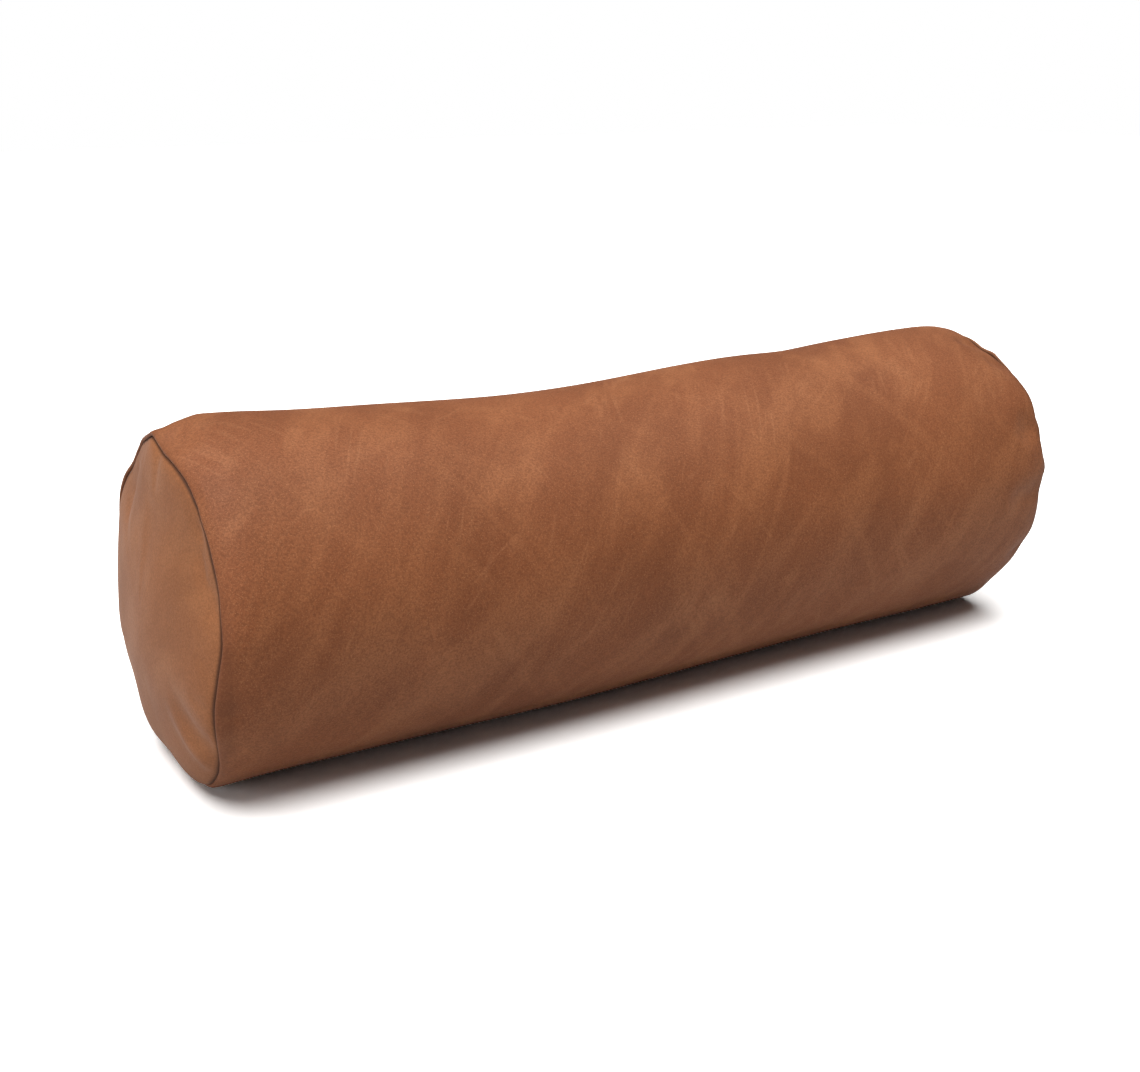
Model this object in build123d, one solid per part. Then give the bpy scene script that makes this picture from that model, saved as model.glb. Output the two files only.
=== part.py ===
"""A leather bolster pillow: a zipped outer cover, and in it a sewn cotton liner stuffed with fibre.

Millimetres. +X runs along the bolster, -Y is its front and the zip faces +Y, +Z is up. The origin
is the middle of the flat patch that the bolster rests on.
"""

from build123d import *
import os
from math import ceil, sqrt

# Driving dimensions of the bolster
RADIUS = 100.0  # outside of the round body, an 8 inch bolster
SEAM_TO_SEAM = 580.0  # between the rims of the two end seams
BULGE = 18.0  # how far an end panel swells past its seam
FLAT_WIDTH = 56.0  # width of the patch that rests on the floor
FLAT_CORNER = 30.0  # radius where that patch turns up into the round

# Leather cover
LEATHER = 1.2
PLY_GAP = 0.1  # air between two plies that lie on each other
HEM = 10.0  # width of every turned-in edge
RIM_DEPTH = 1.5  # how far an end panel starts inside the body's rim

# Cotton liner, which follows the cover from inside
LINER_INSET = 6.0
LINER_CLOTH = 0.5
LINER_HEM = 8.0
LINER_END_GAP = 2.0
FILL_INSET = 8.6

# Zip: a number 5 coil zip along the back
ZIP_RISE = 8.0  # degrees that the zip's outward direction points above level
SLOT_LENGTH = 480.0
SLOT_WIDTH = 12.0
SEAM_SLIT = 0.3  # between the two folds where the long seam is sewn shut
TAPE_WIDTH = 15.0  # from the zip's middle to a tape's outer edge
TAPE_INNER = 1.3  # from the zip's middle to a tape's inner edge
TAPE = 0.6
TAPE_OVERRUN = 6.0
COIL_PITCH = 1.8
COIL_TOOTH = 0.8
COIL_REACH = 0.7  # how far a tooth crosses the middle
COIL_SPINE = (2.2, 3.2)
COIL_HEIGHT = 2.28
STOP_LENGTH = 2.4

# Slider and pull tab
SLIDER_LENGTH = 13.0
SLIDER_WIDE = 11.2
SLIDER_NARROW = 9.2
WING = 1.4
WING_BELOW = 1.1
LIP_WIDTH = 1.2
POST_LENGTH = 4.5
POST_WIDTH = 2.0
BRIDGE_LENGTH = 8.0
BRIDGE_WIDTH = 2.4
BRIDGE_RISE = 3.0
BRIDGE_LEG = 1.4
BRIDGE_BEAM = 1.1
TAB_THICK = 1.4
TAB_LENGTH = 27.0
TAB_WIDTH = 6.4
TAB_TIP_WIDTH = 7.6
TAB_WINDOW = 3.6
TAB_WINDOW_END = 6.2
TAB_EYE = 3.0

# Thread
THREAD = 0.8
SEAM_THREAD = 0.6
STITCH_PITCH = 4.2
STITCH_LENGTH = 3.4
TOPSTITCH_INSET = 3.0  # from the fold of the slot to its row of stitches
TACK_PITCH = 1.1
TACK_LENGTH = 4.0
CLEAR = 0.02  # keeps a stitch just off what it lies on

AXIS_HEIGHT = sqrt(RADIUS**2 - (FLAT_WIDTH / 2) ** 2)
HALF = SEAM_TO_SEAM / 2
HALF_SLOT = SLOT_LENGTH / 2
HEM_PLY = LEATHER + PLY_GAP  # depth of a turned-in ply's outer face
TAPE_TOP = RADIUS - 2 * HEM_PLY
TAPE_BOTTOM = TAPE_TOP - TAPE
COIL_BOTTOM = TAPE_TOP + CLEAR
COIL_TOP = COIL_BOTTOM + COIL_HEIGHT
WING_BOTTOM = COIL_TOP + 0.1
WING_TOP = WING_BOTTOM + WING
LOWER_WING_TOP = TAPE_BOTTOM - 0.3
TAB_AXIS = WING_TOP + 0.2 + TAB_THICK / 2
SLIDER_X = HALF_SLOT - 16.0
SLIDER_FRONT = SLIDER_X + SLIDER_LENGTH / 2
STOP_X = SLIDER_FRONT + 0.4
BOTTOM_STOP_X = -HALF_SLOT + 2.0
COIL_START = BOTTOM_STOP_X + STOP_LENGTH + 0.2
SIDES = (("upper", -1), ("lower", 1))
ENDS = (("left", -1), ("right", 1))


def outline(inset):
    """The pillow's cross-section in the YZ plane, moved inwards by inset."""
    disc = Pos(0, AXIS_HEIGHT) * Circle(RADIUS)
    above = Pos(0, RADIUS) * Rectangle(3 * RADIUS, 2 * RADIUS)
    whole = disc & above
    corners = [v for v in whole.vertices() if v.Y < 1.0 and abs(v.X) > FLAT_WIDTH / 4]
    whole = fillet(corners, FLAT_CORNER)
    return offset(whole, amount=-inset) if inset else whole


def prism(inset, start, end):
    """The cross-section, inset, carried along X from start to end."""
    return Pos(start, 0, 0) * extrude(Plane.YZ * outline(inset), end - start)


def at_zip(shape):
    """Turns a shape made on top of a tube about the X axis round to the zip's place."""
    return Pos(0, 0, AXIS_HEIGHT) * Rot(ZIP_RISE - 90, 0, 0) * shape


def strip(outer, inner, near, far, start, end):
    """Part of a tube about the X axis, on its top: Y from near to far, X from start to end."""
    ring = Circle(outer) - Circle(inner)
    band = Pos((near + far) / 2, outer / 2) * Rectangle(abs(far - near), outer)
    return Pos(start, 0, 0) * extrude(Plane.YZ * (ring & band), end - start)


def block(x, y, z):
    """A box from three (low, high) pairs."""
    size = [high - low for low, high in (x, y, z)]
    middle = [(low + high) / 2 for low, high in (x, y, z)]
    return Pos(*middle) * Box(*size)


def sewn_tube(inset, cloth, hem, half):
    """A tube of cloth whose two rims are turned in by hem."""
    ply = cloth + PLY_GAP
    tube = prism(inset, -half, half) - prism(inset + cloth, -half - 1, half + 1)
    for _, side in ENDS:
        low, high = sorted((side * half, side * (half - hem)))
        fold_low, fold_high = sorted((side * half, side * (half - cloth)))
        tube += prism(inset + ply, low, high) - prism(inset + ply + cloth, low - 1, high + 1)
        tube += prism(inset, fold_low, fold_high) - prism(inset + ply + cloth, fold_low - 1, fold_high + 1)
    return tube


def cap_radius(inset, bulge):
    """Radius of the sphere whose cap swells by bulge over the cross-section, inset."""
    base = RADIUS - inset
    return (base**2 + bulge**2) / (2 * bulge)


def end_solid(inset, sphere, middle, start, side):
    """The cross-section, inset, from X start to the outside of a sphere round X middle."""
    reach = sorted((side * start, side * (middle + sphere)))
    return prism(inset, *reach) & (Pos(side * middle, 0, AXIS_HEIGHT) * Sphere(sphere))


def end_panel(inset, cloth, hem, base, bulge, side):
    """A disc of cloth that swells outwards, with its edge turned in along the tube."""
    ply = cloth + PLY_GAP
    sphere = cap_radius(inset + 2 * ply, bulge)
    middle = base + bulge - sphere
    outer = end_solid(inset + 2 * ply, sphere, middle, base - hem, side)
    inner = end_solid(inset + 2 * ply + cloth, sphere - cloth, middle, base - hem - 1, side)
    return outer - inner


def stitch(length, thickness):
    """One stitch along X."""
    return Rot(0, 90, 0) * Cylinder(thickness / 2, length)


def stitch_row(start, end, pitch=STITCH_PITCH):
    """The X of each stitch's middle in an evenly spaced row."""
    count = int((end - start) / pitch)
    first = (start + end - (count - 1) * pitch) / 2
    return [first + i * pitch for i in range(count)]


def ring_thread(inset, x, thickness):
    """Stitches round the inside of an end seam."""
    path = (Plane.YZ * outline(inset + thickness / 2 + PLY_GAP)).wire()
    count = ceil(path.length / STITCH_PITCH)
    one = stitch(STITCH_LENGTH, thickness)
    stitches = []
    for i in range(count):
        at = path.position_at(i / count)
        along = path.tangent_at(i / count)
        place = Plane(origin=(x, at.Y, at.Z), x_dir=along, z_dir=(1, 0, 0))
        stitches.append(place.location * one)
    return Compound(children=stitches)


def row_thread(across, height, start, end, thickness):
    """A straight row of stitches along the zip, at Y across and that height."""
    one = stitch(STITCH_LENGTH, thickness)
    return [Pos(x, across, height) * one for x in stitch_row(start, end)]


def cover_body_panel():
    """The leather tube, with its turned-in rims and the hemmed slot that the zip closes."""
    panel = sewn_tube(0, LEATHER, HEM, HALF)
    middle_of_ply, top = RADIUS - LEATHER / 2, RADIUS + 1
    inside, bottom = HALF - HEM - 1, TAPE_TOP + PLY_GAP
    for _, side in SIDES:
        edge, far = side * SEAM_SLIT / 2, side * (SLOT_WIDTH / 2 + HEM)
        hem = strip(RADIUS - HEM_PLY, bottom, edge, far, -inside, inside)
        fold = strip(middle_of_ply, bottom, edge, edge + side * LEATHER, -inside, inside)
        panel += at_zip(hem + fold)
    slit = block((-HALF - 1, HALF + 1), (-SEAM_SLIT / 2, SEAM_SLIT / 2), (RADIUS / 2, top))
    slot = block((-HALF_SLOT, HALF_SLOT), (-SLOT_WIDTH / 2, SLOT_WIDTH / 2), (RADIUS / 2, top))
    panel -= at_zip(slot + slit)
    for _, side in SIDES:
        edge = side * SLOT_WIDTH / 2
        panel += at_zip(strip(middle_of_ply, bottom, edge, edge + side * LEATHER, -HALF_SLOT, HALF_SLOT))
    return panel


def zip_tape(side):
    """One woven tape, sewn under a hem of the slot."""
    length = HALF_SLOT + TAPE_OVERRUN
    return at_zip(strip(TAPE_TOP, TAPE_BOTTOM, side * TAPE_INNER, side * TAPE_WIDTH, -length, length))


def zip_coil(side):
    """One row of the coil as a comb: teeth that mesh up to the slider, then short ones past its post."""
    near, far = (side * y for y in COIL_SPINE)
    first = COIL_START + (COIL_PITCH / 2 if side > 0 else 0)
    outline_points = [(COIL_START, far), (COIL_START, near)]
    for i in range(int((STOP_X - COIL_TOOTH - first) / COIL_PITCH)):
        x = first + (i + 0.05) * COIL_PITCH
        meshed = x < SLIDER_X - COIL_PITCH
        tip = -side * COIL_REACH if meshed else side * TAPE_INNER
        outline_points += [(x, near), (x, tip), (x + COIL_TOOTH, tip), (x + COIL_TOOTH, near)]
    outline_points += [(STOP_X, near), (STOP_X, far)]
    comb = make_face(Polyline(*outline_points, close=True))
    return at_zip(Pos(0, 0, COIL_BOTTOM) * extrude(comb, COIL_HEIGHT, dir=(0, 0, 1)))


def zip_top_stops():
    """A clip on the end of each row, which the slider comes up against when the zip is shut."""
    x = (STOP_X + 0.1, STOP_X + 0.1 + STOP_LENGTH)
    clips = [
        at_zip(block(x, sorted((side * TAPE_INNER, side * 3.6)), (COIL_BOTTOM, COIL_TOP)))
        for _, side in SIDES
    ]
    return Compound(children=[fillet(clip.edges(), 0.3) for clip in clips])


def zip_bottom_stop():
    """The clip across both rows at the zip's other end."""
    x = (BOTTOM_STOP_X, BOTTOM_STOP_X + STOP_LENGTH)
    clip = block(x, (-3.6, 3.6), (COIL_BOTTOM, COIL_TOP))
    return at_zip(fillet(clip.edges(), 0.3))


def wing_outline():
    """A slider's wing seen from above, wide at its front."""
    half = SLIDER_LENGTH / 2
    wide, narrow = SLIDER_WIDE / 2, SLIDER_NARROW / 2
    points = [(-half, -narrow), (-half + 4, -narrow), (half - 4, -wide), (half, -wide + 1.2)]
    points += [(x, -y) for x, y in reversed(points)]
    shape = make_face(Polyline(*points, close=True))
    return fillet(shape.vertices(), 1.2)


def zip_slider():
    """Two wings joined by a post, lips that hold the coil, and a bridge for the pull tab."""
    wing = wing_outline()
    upper = Pos(0, 0, WING_BOTTOM) * extrude(wing, WING)
    lower = Pos(0, 0, LOWER_WING_TOP - WING_BELOW) * extrude(wing, WING_BELOW)
    lip_bottom = TAPE_TOP + 0.2
    core = offset(wing, amount=-LIP_WIDTH)
    half = SLIDER_LENGTH / 2
    channel = core + Rectangle(2 * half, SLIDER_NARROW - 2 * LIP_WIDTH)
    channel += Pos(half - 2, 0) * Rectangle(4, SLIDER_WIDE - 2 * LIP_WIDTH)
    lips = Pos(0, 0, lip_bottom) * extrude(wing - channel, WING_BOTTOM - lip_bottom)
    post_x = (half - 0.4 - POST_LENGTH, half - 0.4)
    post_z = (LOWER_WING_TOP - WING_BELOW / 2, WING_BOTTOM + WING / 2)
    post = block(post_x, (-POST_WIDTH / 2, POST_WIDTH / 2), post_z)
    post = fillet(post.edges().filter_by(Axis.Z), POST_WIDTH * 0.45)
    arch = block(
        (-BRIDGE_LENGTH / 2, BRIDGE_LENGTH / 2),
        (-BRIDGE_WIDTH / 2, BRIDGE_WIDTH / 2),
        (WING_TOP - 0.2, WING_TOP + BRIDGE_RISE),
    )
    arch = fillet(arch.edges().filter_by(Axis.Y).sort_by(Axis.Z)[-2:], 1.6)
    gap_half, gap_top = BRIDGE_LENGTH / 2 - BRIDGE_LEG, WING_TOP + BRIDGE_RISE - BRIDGE_BEAM
    gap = block((-gap_half, gap_half), (-BRIDGE_WIDTH, BRIDGE_WIDTH), (WING_TOP, gap_top))
    return at_zip(Pos(SLIDER_X, 0, 0) * (upper + lower + lips + post + (arch - gap)))


def zip_pull_tab():
    """A flat tab with a window round the bridge's leg and a bar that turns under the bridge."""
    points = [(0, TAB_WIDTH / 2), (-10, TAB_WIDTH / 2 - 0.6), (-TAB_LENGTH, TAB_TIP_WIDTH / 2)]
    points += [(x, -y) for x, y in reversed(points)]
    plate = fillet(make_face(Polyline(*points, close=True)).vertices().sort_by(Axis.X)[:2], 2.4)
    window = block((-TAB_WINDOW_END, 0), (-TAB_WINDOW / 2, TAB_WINDOW / 2), (-TAB_THICK, TAB_THICK))
    window = fillet(window.edges().filter_by(Axis.Z), 0.8)
    eye = Pos(-TAB_LENGTH + 4.6, 0, 0) * Cylinder(TAB_EYE / 2, 2 * TAB_THICK)
    body = Pos(0, 0, -TAB_THICK / 2) * extrude(plate, TAB_THICK)
    bar = Rot(90, 0, 0) * Cylinder(TAB_THICK / 2, TAB_WIDTH)
    tab = body - window - eye + bar
    return at_zip(Pos(SLIDER_X, 0, TAB_AXIS) * tab)


def zip_topstitch(side):
    """The row that holds a tape under its hem, seen on the leather and again on the tape."""
    across = side * (SLOT_WIDTH / 2 + TOPSTITCH_INSET)
    rows = []
    for radius in (RADIUS + THREAD / 2 + CLEAR, TAPE_BOTTOM - THREAD / 2 - CLEAR):
        height = sqrt(radius**2 - across**2)
        rows += row_thread(across, height, -HALF_SLOT, HALF_SLOT, THREAD)
    return Compound(children=[at_zip(s) for s in rows])


def zip_end_tack(side):
    """A bar of close stitches across the end of the slot."""
    one = stitch(TACK_LENGTH, THREAD)
    middle = side * (HALF_SLOT + 1 + TACK_LENGTH / 2)
    radius = RADIUS + THREAD / 2 + CLEAR
    reach = SLOT_WIDTH / 2 + TOPSTITCH_INSET
    ys = stitch_row(-reach, reach + TACK_PITCH, TACK_PITCH)
    return Compound(children=[at_zip(Pos(middle, y, sqrt(radius**2 - y**2)) * one) for y in ys])


def long_seam_thread(side):
    """Stitches inside the stretch of the long seam between the zip and an end."""
    start, end = sorted((side * (HALF_SLOT + TAPE_OVERRUN), side * (HALF - HEM - 3)))
    height = RADIUS - HEM_PLY - LEATHER - SEAM_THREAD / 2 - CLEAR
    return Compound(children=[at_zip(s) for s in row_thread(0, height, start, end, SEAM_THREAD)])


def liner_closing_thread():
    """The stitches that close the liner after it is stuffed, along its top."""
    height = RADIUS - LINER_INSET + SEAM_THREAD / 2 + CLEAR
    rows = row_thread(0, height, -HALF_SLOT / 2, HALF_SLOT / 2, SEAM_THREAD)
    return Compound(children=[Pos(0, 0, AXIS_HEIGHT) * s for s in rows])


def fibre_fill(half, middle, sphere):
    """The stuffing, crowned at both ends like the liner."""
    body = prism(FILL_INSET, -half, half)
    for _, side in ENDS:
        body += end_solid(FILL_INSET, sphere, middle, half - 1, side)
    return body


def build():
    """Every sub-part, by the name of its node."""
    cover_base = HALF - RIM_DEPTH
    cover_sphere = cap_radius(2 * HEM_PLY, BULGE)
    cover_middle = cover_base + BULGE - cover_sphere
    liner_ply = 2 * (LINER_CLOTH + PLY_GAP)
    liner_half = cover_base - LINER_END_GAP
    liner_base = liner_half - RIM_DEPTH / 2
    liner_sphere = cap_radius(LINER_INSET + liner_ply, BULGE - LINER_END_GAP)
    liner_middle = liner_base + BULGE - LINER_END_GAP - liner_sphere
    parts = {
        "cover_body_panel": cover_body_panel(),
        "zip_top_stops": zip_top_stops(),
        "zip_bottom_stop": zip_bottom_stop(),
        "zip_slider": zip_slider(),
        "zip_pull_tab": zip_pull_tab(),
        "liner_body": sewn_tube(LINER_INSET, LINER_CLOTH, LINER_HEM, liner_half),
        "liner_closing_thread": liner_closing_thread(),
        "fibre_fill": fibre_fill(liner_base - LINER_END_GAP, liner_middle, liner_sphere - 2 * LINER_CLOTH),
    }
    for name, side in SIDES:
        parts[f"zip_tape_{name}"] = zip_tape(side)
        parts[f"zip_coil_{name}"] = zip_coil(side)
        parts[f"zip_topstitch_{name}"] = zip_topstitch(side)
    for name, side in ENDS:
        parts[f"cover_end_panel_{name}"] = end_panel(0, LEATHER, HEM, cover_base, BULGE, side)
        parts[f"liner_end_panel_{name}"] = end_panel(
            LINER_INSET, LINER_CLOTH, LINER_HEM, liner_base, BULGE - LINER_END_GAP, side
        )
        cover_flange = 2 * HEM_PLY + LEATHER
        liner_flange = LINER_INSET + liner_ply + LINER_CLOTH
        seam_x, liner_x = side * (cover_base - 3), side * (liner_base - 3)
        parts[f"end_seam_thread_{name}"] = ring_thread(cover_flange, seam_x, SEAM_THREAD)
        parts[f"liner_end_thread_{name}"] = ring_thread(liner_flange, liner_x, SEAM_THREAD)
        parts[f"long_seam_thread_{name}"] = long_seam_thread(side)
        parts[f"zip_end_tack_{name}"] = zip_end_tack(side)
    return parts


os.makedirs("parts", exist_ok=True)
for node, shape in build().items():
    export_step(shape, f"parts/{node}.step")
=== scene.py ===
"""A leather bolster pillow: its sewn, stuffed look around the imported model.

The pillow is one skin, given by formulas in (x, turn): x runs along the bolster, and turn is the angle
round it, 0 on top and a quarter turn at the front. Leather, cotton and stitches all lie on that skin,
each at its own depth. A side is -1 at the near end, on the left, and 1 at the far end. Lengths are in
metres.
"""

import math

import bmesh
import bpy
import numpy as np
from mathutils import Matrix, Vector

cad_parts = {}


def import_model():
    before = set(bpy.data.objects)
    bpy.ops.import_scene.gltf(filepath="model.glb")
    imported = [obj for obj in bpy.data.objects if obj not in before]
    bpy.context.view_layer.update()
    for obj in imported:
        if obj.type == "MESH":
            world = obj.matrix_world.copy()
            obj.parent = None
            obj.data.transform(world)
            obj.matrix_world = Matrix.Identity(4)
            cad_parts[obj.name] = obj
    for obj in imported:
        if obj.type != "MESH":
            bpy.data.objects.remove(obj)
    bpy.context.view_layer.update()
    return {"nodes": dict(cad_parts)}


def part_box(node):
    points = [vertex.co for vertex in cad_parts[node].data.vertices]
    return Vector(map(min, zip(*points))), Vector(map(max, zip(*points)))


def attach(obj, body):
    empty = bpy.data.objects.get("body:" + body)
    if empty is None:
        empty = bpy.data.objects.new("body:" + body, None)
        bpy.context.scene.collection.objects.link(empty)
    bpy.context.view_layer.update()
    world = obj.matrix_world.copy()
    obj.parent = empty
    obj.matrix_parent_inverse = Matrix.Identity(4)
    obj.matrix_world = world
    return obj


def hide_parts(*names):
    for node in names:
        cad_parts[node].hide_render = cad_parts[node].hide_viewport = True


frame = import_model()

MM = 0.001
TAU = 2 * math.pi

# The bolster, read from the frame
body_low, body_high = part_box("cover_body_panel")
RADIUS = (body_high.y - body_low.y) / 2
HALF = body_high.x
AXIS = body_high.z - RADIUS
DOME_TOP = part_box("cover_end_panel_right")[1].x
slider_low, slider_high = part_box("zip_slider")
SLIDER_X = (slider_low.x + slider_high.x) / 2
SLOT_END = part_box("zip_topstitch_upper")[1].x + 1 * MM
TAPE_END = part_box("zip_tape_upper")[1].x
COIL_START, COIL_END = (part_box("zip_coil_upper")[i].x for i in (0, 1))
LINER_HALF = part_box("liner_body")[1].x
LINER_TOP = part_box("liner_end_panel_right")[1].x
LINER_DEPTH = body_high.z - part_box("liner_body")[1].z
FILL_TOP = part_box("fibre_fill")[1].x
FILL_DEPTH = body_high.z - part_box("fibre_fill")[1].z
FLANGE_DEPTH = body_high.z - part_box("cover_end_panel_right")[1].z

# Cloth, seams and zip
LEATHER = 1.2 * MM
COTTON = 0.5 * MM
PLY_GAP = 0.1 * MM
HEM = 9.0 * MM
LINER_HEM = 7.0 * MM
RIM_DEPTH = 1.5 * MM  # the end seams lie this far in from the rims
GROOVE = 2.4 * MM  # and the leather end panels' edges this far
EDGE_ROLL = 6.0 * MM
ZIP_TURN = math.radians(-82.0)
SLOT_HALF_WIDTH = 6.0 * MM
EDGE_TO_ROW = 3.0 * MM  # from the slot's edge to its topstitching
TAPE_INNER, TAPE_REACH = 1.3 * MM, 15.0 * MM  # from the zip's middle to a tape's two edges
TAPE_DEPTH = 2.6 * MM
TAPE_THICK = 0.6 * MM
STITCH_PITCH = 4.2 * MM
STITCH_LENGTH = 3.4 * MM
TOPSTITCH = 0.8 * MM
SEAM_THREAD = 0.6 * MM

# Leather, from dark to pale, and the warmer tone of its end panels
LEATHER_DARK = (0.168, 0.051, 0.0172)
LEATHER_BROWN = (0.243, 0.078, 0.0278)
LEATHER_TAN = (0.330, 0.124, 0.0480)
LEATHER_PALE = (0.460, 0.198, 0.0880)
LEATHER_GOLD = (0.240, 0.102, 0.0370)
END_GOLD = 0.32

ROOM_LIGHT = 0.02
FLOOR_SHOWN, FLOOR_THROWN = 1.30, 0.56


# ---- the skin

def smooth(t):
    """0 to 1 as t goes from 0 to 1, with no corner."""
    t = np.clip(t, 0, 1)
    return t * t * (3 - 2 * t)


def bell(distance, width):
    return np.exp(-((distance / width) ** 2))


def turned(angle):
    """An angle brought into half a turn either way."""
    return (angle + math.pi) % TAU - math.pi


def ring(count):
    """Evenly spaced turns, once round."""
    return np.arange(count) * TAU / count


def near_end(x, side, reach):
    """1 at an end seam, and fading away from it."""
    return np.exp(-np.clip(HALF - side * x, 0, 1) / reach)


def waves(x, turn, seed, length, cycles, count=10):
    """Soft seeded unevenness, about -1 to 1, that closes on itself round the bolster."""
    pick = np.random.default_rng(seed)
    total = 0
    for _ in range(count):
        along = pick.uniform(-1, 1) * TAU / length
        around = pick.integers(-cycles, cycles + 1)
        total = total + np.cos(along * x + around * turn + pick.uniform(0, TAU))
    return total / math.sqrt(count)


def zip_quiet(turn):
    """0 by the zip, where the skin keeps to the model so that the slider runs, and 1 well away."""
    return smooth((np.abs(turned(turn - ZIP_TURN)) - 0.26) / 0.5)


def flat_radius(turn):
    """The radius of a plain round, with its underside flattened by the floor."""
    down = -np.cos(turn)
    floor = AXIS / np.maximum(down, 0.05)
    soft = 3 * MM
    blend = np.clip(0.5 + 0.5 * (floor - RADIUS) / soft, 0, 1)
    return floor + (RADIUS - floor) * blend - soft * blend * (1 - blend)


def rim_shape(turn, side):
    """How far an end seam stands out from or sinks below the round."""
    front = turned(turn)
    if side < 0:
        shape = 2.6 * bell(front + 0.12, 0.10) - 2.5 * bell(front + 0.62, 0.28)
        shape += -4.2 * bell(front - 0.18, 0.20) - 2.0 * bell(front - 0.95, 0.40)
        shape += -4.5 * bell(front - 1.85, 0.30) + 1.2 * bell(front - 2.60, 0.25)
    else:
        shape = 3.0 * bell(front + 0.16, 0.20) - 4.2 * bell(front - 0.40, 0.28)
        shape += 4.2 * bell(front - 0.90, 0.22)
        shape += 1.6 * bell(front - 1.30, 0.15)
        shape -= 4.5 * smooth((front - 1.38) / 0.20) * (1 - smooth((front - 2.4) / 0.4))
    shape += 0.5 * waves(0, turn, 11 + side, 1.0, 7)
    return shape * MM * zip_quiet(turn)


def rim_reach(turn, side):
    """How far an end seam strays along the bolster, out from its flat ring."""
    front = turned(turn)
    if side < 0:
        reach = 7.5 * bell(front - 1.85, 0.42) - 0.8 * bell(front - 0.7, 0.4)
    else:
        reach = 4.0 * bell(front - 0.45, 0.60) + 1.0 * bell(front - 1.55, 0.5)
    return reach * MM * zip_quiet(turn)


def strayed(x, turn):
    """x, moved along with the seams near each end."""
    left, right = (rim_reach(turn, side) * near_end(x, side, 45 * MM) for side in (-1, 1))
    return x - left + right


def shoulder(x, turn):
    """The skin draws in towards each end seam, and rolls over into it."""
    drop = 0
    for side, width, depth in ((-1, 20 * MM, 0.5 * MM), (1, 36 * MM, 0.5 * MM)):
        inside = HALF - side * x
        near = np.clip(1 - inside / width, 0, 1.2)
        roll = np.clip(1 - inside / EDGE_ROLL, 0, 1)
        drop = drop - depth * near ** 2.2 - 0.2 * EDGE_ROLL * roll ** 2
    return drop * zip_quiet(turn)


def puckers(x, turn):
    """Short soft folds that run out of the end seams."""
    total = 0
    for side in (-1, 1):
        total = total + near_end(x, side, 13 * MM) * waves(0, turn, 31 + side, 1.0, 26, 14)
    return 0.45 * MM * total * zip_quiet(turn)


def sag(x, turn):
    """The stuffing has settled in the middle, so the top dips and the front swells a little."""
    top = np.cos(np.clip(turned(turn) * 1.1, -math.pi / 2, math.pi / 2)) ** 2
    dip = -11.4 * bell(x + 40 * MM, 118 * MM) - 2.0 * bell(x - 150 * MM, 32 * MM)
    dip = dip + 1.7 * bell(x - 250 * MM, 50 * MM) + 3.0 * bell(x + 258 * MM, 42 * MM)
    front = np.cos(np.clip((turned(turn) - 1.9), -math.pi / 2, math.pi / 2)) ** 2
    swell = 2.2 * bell(x + 50 * MM, 150 * MM)
    return (dip * top + swell * front) * MM * zip_quiet(turn)


def uneven(x, turn):
    """Lumps in the stuffing, felt through the leather."""
    ends = smooth((HALF - np.abs(x)) / (60 * MM))
    wide = 0.7 * waves(x, turn, 5, 0.30, 3) + 0.3 * waves(x, turn, 6, 0.11, 7)
    return wide * MM * (0.35 + 0.65 * ends) * zip_quiet(turn)


def body_radius(x, turn):
    """Distance from the axis to the skin."""
    radius = flat_radius(turn) + shoulder(x, turn) + puckers(x, turn) + sag(x, turn) + uneven(x, turn)
    left, right = near_end(x, -1, 11 * MM), near_end(x, 1, 26 * MM)
    return radius + left * rim_shape(turn, -1) + right * rim_shape(turn, 1)


def seam_groove(x, turn):
    """The long seam beyond the zip, where two folds meet."""
    across = turned(turn - ZIP_TURN) * RADIUS
    past = smooth((np.abs(x) - SLOT_END) / (3 * MM))
    ridge = 0.25 * MM * bell(np.abs(across) - 2.5 * MM, 1.6 * MM)
    return (ridge - 0.9 * MM * bell(across, 0.7 * MM)) * past


def place(x, radius, turn):
    """The point at x, that far from the axis and that far round."""
    x, radius, turn = np.broadcast_arrays(x, radius, turn)
    return np.stack([x, -radius * np.sin(turn), AXIS + radius * np.cos(turn)], -1)


def skin(x, turn, depth=0.0):
    """The point that far under the skin of the body."""
    return place(strayed(x, turn), body_radius(x, turn) - depth, turn)


# ---- cloth simulation of the skin

SIM_ROWS, SIM_TURNS, SIM_RINGS = 84, 112, 14
SIM_FRAMES = 18
SIM_CAP = 5 * MM


def dome_height(share, top):
    """Height of an end panel over its seam, from its rim (share 1) to its middle (0)."""
    edge = 4.5 * MM
    return (top - edge) * (1 - share ** 2.0) ** 0.95 + edge * np.sqrt(np.clip(1 - share ** 14, 0, 1))


def dome_extra(share, turn, side):
    """Creases and lumps on an end panel."""
    y, z = share * np.sin(turn), share * np.cos(turn)
    near = np.exp(-(1 - share) / 0.10)
    extra = 0.6 * near * waves(0, turn, 51 + side, 1.0, 17, 12)
    extra = extra + 0.8 * (1 - share ** 2) * waves(1.3 * y, 2.1 * z, 61 + side, 1.0, 2)
    if side < 0:
        low = 3.4 * bell(z + 0.35, 0.30) + 5.0 * bell(z + 0.82, 0.28)
        extra = extra + low * (1 - share ** 12) - 5.0 * bell(z - 0.62, 0.36) * (1 - share ** 8)
        start_y, start_z = math.sin(2.30), math.cos(2.30)
        run_y, run_z = -0.80, 0.60
        down = (start_y - y) * -run_y + (start_z - z) * -run_z
        off = (y - start_y) * run_z - (z - start_z) * run_y
        on = smooth(down / 0.08) * (1 - smooth((down - 0.12) / 0.40))
        extra = extra + on * (2.6 * bell(off, 0.07) - 2.2 * bell(off - 0.15, 0.09))
    return extra * MM


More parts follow.
